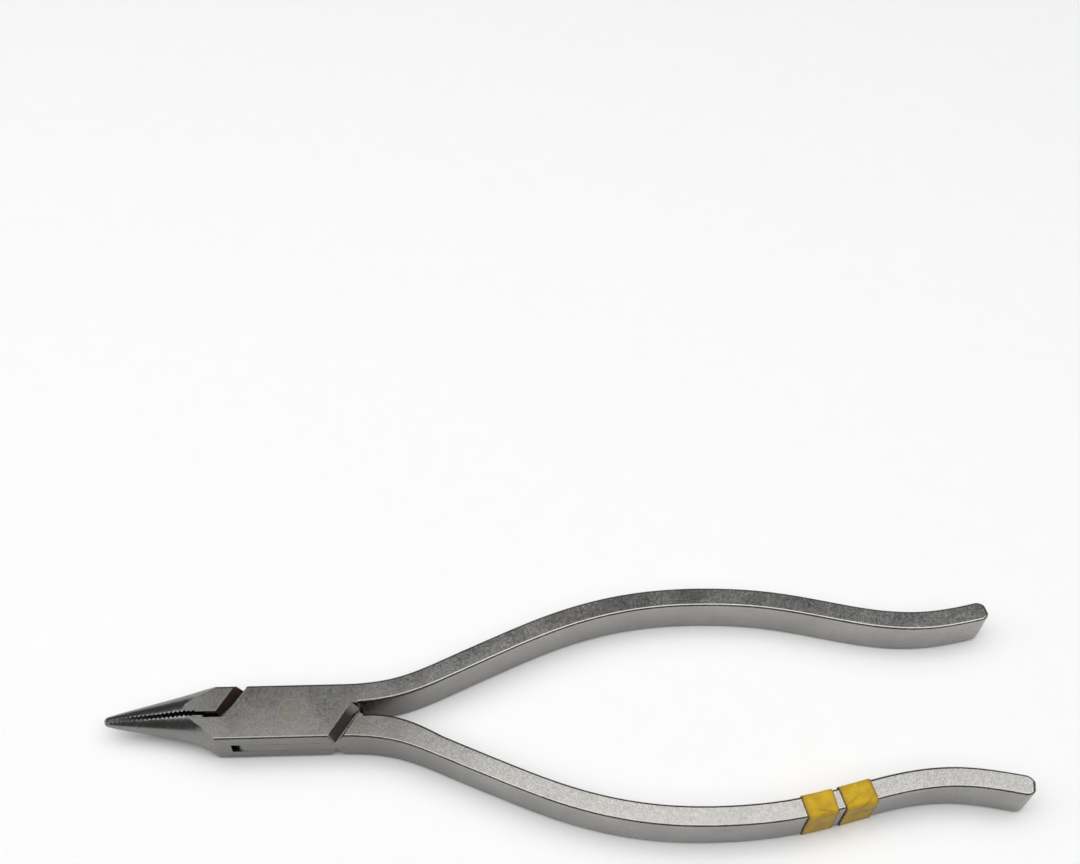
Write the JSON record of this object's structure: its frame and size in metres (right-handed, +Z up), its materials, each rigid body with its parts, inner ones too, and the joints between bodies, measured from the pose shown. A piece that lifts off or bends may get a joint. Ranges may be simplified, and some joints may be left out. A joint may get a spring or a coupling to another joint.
{
  "type": "box-joint pliers",
  "caption": "Slim stainless pliers with a box joint, conical serrated jaws, bowed bare handles and two wraps of marking tape on one handle.",
  "frame": {"origin": "centre of the whole tool's box, at the level that it lies on", "axes": "+X from the jaw tips to the handles' ends, +Y to the side of the outer half's handle, +Z up through the thickness, along the pivot"},
  "size_m": [0.1666, 0.047, 0.0088],
  "materials": {
    "outer_steel": "satin bead-blasted stainless steel",
    "inner_steel": "satin bead-blasted stainless steel",
    "pin_steel": "ground flush, faintly straw-tinted",
    "marking_tape": "ochre-yellow marking tape, slightly wrinkled"
  },
  "bodies": {
    "female_half": {"female_half": "outer_steel", "pivot_pin": "pin_steel"},
    "male_half": {"male_half": "inner_steel", "tape_band_front": "marking_tape", "tape_band_rear": "marking_tape"}
  },
  "joints": [
    {"name": "jaw_pivot", "type": "hinge", "parent": "female_half", "child": "male_half", "pos_m": [-0.04916, 0, 0.00443], "axis": [0, 0, -1], "range_deg": [-0.4, 35]}
  ]
}
